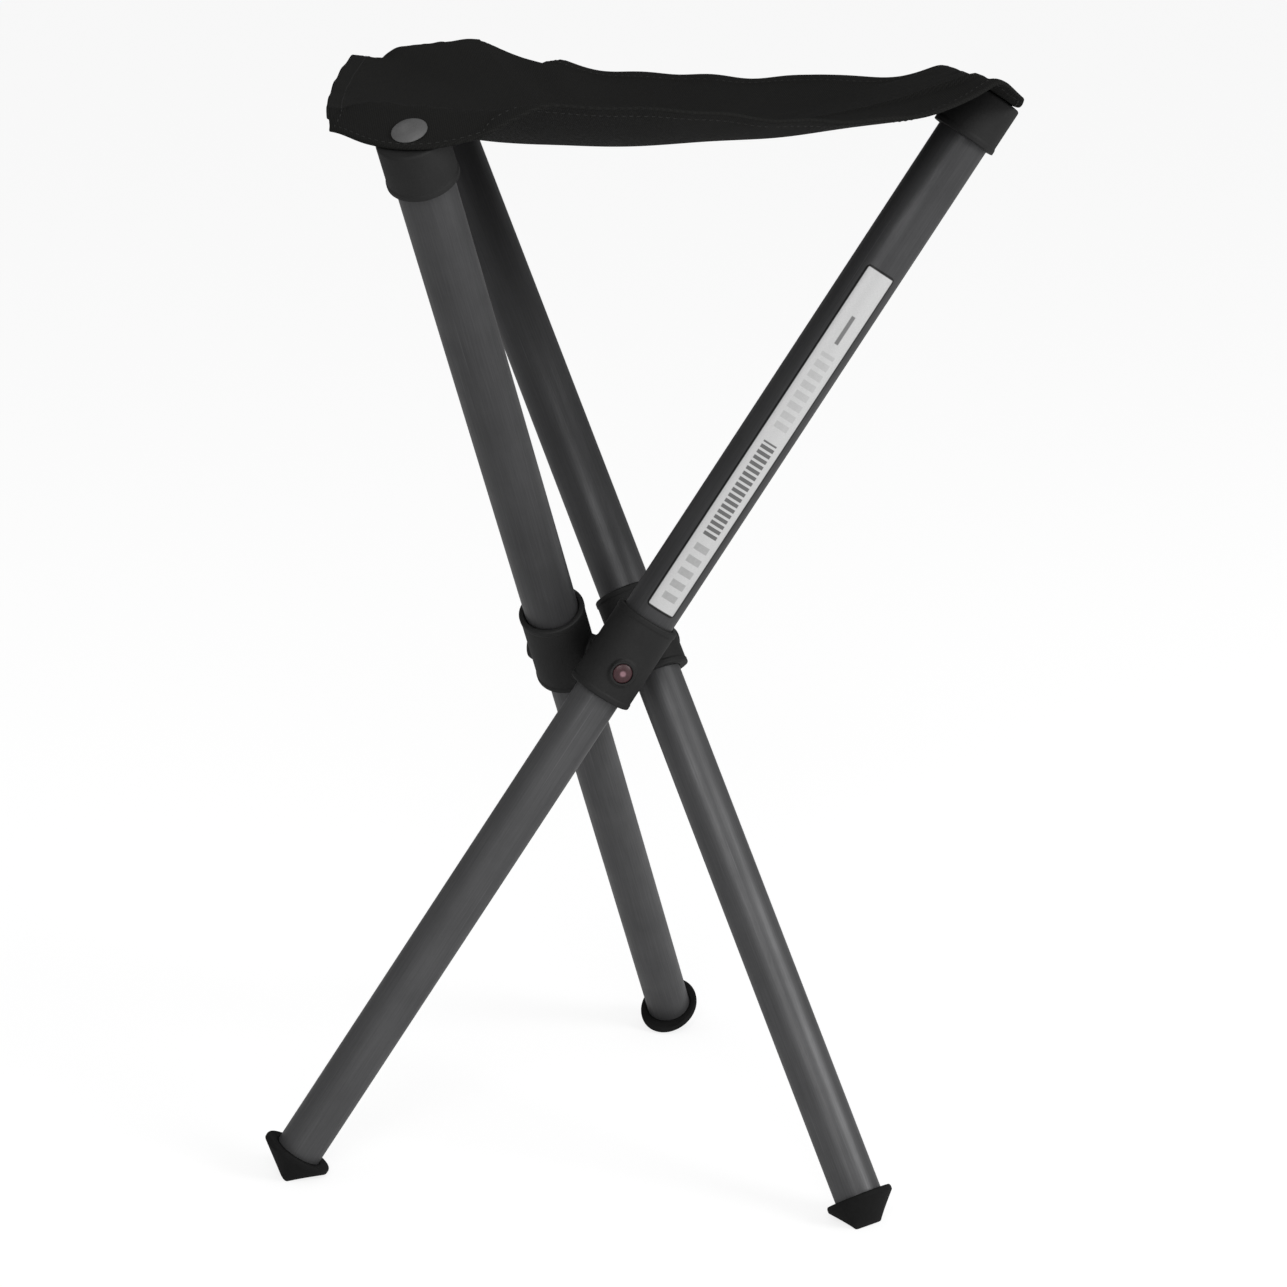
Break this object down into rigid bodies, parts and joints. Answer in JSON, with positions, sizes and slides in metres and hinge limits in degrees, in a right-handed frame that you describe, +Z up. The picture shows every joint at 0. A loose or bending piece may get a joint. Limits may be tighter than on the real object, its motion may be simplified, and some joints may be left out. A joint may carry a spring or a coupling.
{
  "type": "folding tripod stool",
  "caption": "Tripod stool with a cloth seat on three crossed telescopic tube legs that turn on a central hub and shorten by push buttons.",
  "frame": {"origin": "on the floor, under the middle of the stool's box", "axes": "+Z up; -Y towards the first leg's hinge"},
  "size_m": [0.348, 0.3286, 0.5101],
  "materials": {
    "upper_tube": "dark grey satin anodised",
    "lower_tube": "mid grey satin anodised",
    "moulding": "fine-textured black moulding",
    "seat_cloth": "heavy black plain-weave cloth",
    "rubber": "black rubber",
    "button": "dull red moulding",
    "steel": "plated steel",
    "guide_plastic": "natural nylon"
  },
  "bodies": {
    "hub": {"hub_core": "moulding", "seat_fabric": "seat_cloth", "pivot_rivet_1": "steel", "pivot_washer_1": "guide_plastic", "pivot_rivet_2": "steel", "pivot_washer_2": "guide_plastic", "pivot_rivet_3": "steel", "pivot_washer_3": "guide_plastic"},
    "leg_1": {"collar_1": "moulding", "outer_tube_1": "upper_tube", "end_cap_1": "moulding", "seat_rivet_1": "steel"},
    "inner_leg_1": {"inner_tube_1": "lower_tube", "slide_bush_1": "guide_plastic", "lock_spring_1": "steel", "foot_1": "rubber"},
    "button_1": {"lock_button_1": "button"},
    "leg_2": {"collar_2": "moulding", "outer_tube_2": "upper_tube", "end_cap_2": "moulding", "seat_rivet_2": "steel"},
    "inner_leg_2": {"inner_tube_2": "lower_tube", "slide_bush_2": "guide_plastic", "lock_spring_2": "steel", "foot_2": "rubber"},
    "button_2": {"lock_button_2": "button"},
    "leg_3": {"collar_3": "moulding", "outer_tube_3": "upper_tube", "end_cap_3": "moulding", "seat_rivet_3": "steel"},
    "inner_leg_3": {"inner_tube_3": "lower_tube", "slide_bush_3": "guide_plastic", "lock_spring_3": "steel", "foot_3": "rubber"},
    "button_3": {"lock_button_3": "button"}
  },
  "joints": [
    {"name": "fold_1", "type": "hinge", "parent": "hub", "child": "leg_1", "pos_m": [-0.00796, -0.03292, 0.24025], "axis": [0, -1, 0], "range_deg": [0, 33.4], "deforming": ["seat_fabric"]},
    {"name": "fold_2", "type": "hinge", "parent": "hub", "child": "leg_2", "pos_m": [0.01179, 0.00128, 0.24025], "axis": [0.866, 0.5, 0], "range_deg": [0, 33.4]},
    {"name": "fold_3", "type": "hinge", "parent": "hub", "child": "leg_3", "pos_m": [-0.0277, 0.00128, 0.24025], "axis": [-0.866, 0.5, 0], "range_deg": [0, 33.4]},
    {"name": "telescope_1", "type": "slide", "parent": "leg_1", "child": "inner_leg_1", "axis": [0.5505, 0, 0.8348], "range_m": [0, 0.245], "deforming": ["lock_spring_1"]},
    {"name": "telescope_2", "type": "slide", "parent": "leg_2", "child": "inner_leg_2", "axis": [-0.2752, 0.4767, 0.8348], "range_m": [0, 0.245], "deforming": ["lock_spring_2"]},
    {"name": "telescope_3", "type": "slide", "parent": "leg_3", "child": "inner_leg_3", "axis": [-0.2752, -0.4767, 0.8348], "range_m": [0, 0.245], "deforming": ["lock_spring_3"]},
    {"name": "lock_press_1", "type": "slide", "parent": "leg_1", "child": "button_1", "axis": [0, 1, 0], "range_m": [0, 0.0012], "stiffness_N_per_m": 800, "deforming": ["lock_spring_1"]},
    {"name": "lock_press_2", "type": "slide", "parent": "leg_2", "child": "button_2", "axis": [-0.866, -0.5, 0], "range_m": [0, 0.0012], "stiffness_N_per_m": 800, "deforming": ["lock_spring_2"]},
    {"name": "lock_press_3", "type": "slide", "parent": "leg_3", "child": "button_3", "axis": [0.866, -0.5, 0], "range_m": [0, 0.0012], "stiffness_N_per_m": 800, "deforming": ["lock_spring_3"]}
  ],
  "couplings": [
    {"joint": "fold_2", "follows": "fold_1", "ratio": 1},
    {"joint": "fold_3", "follows": "fold_1", "ratio": 1}
  ]
}
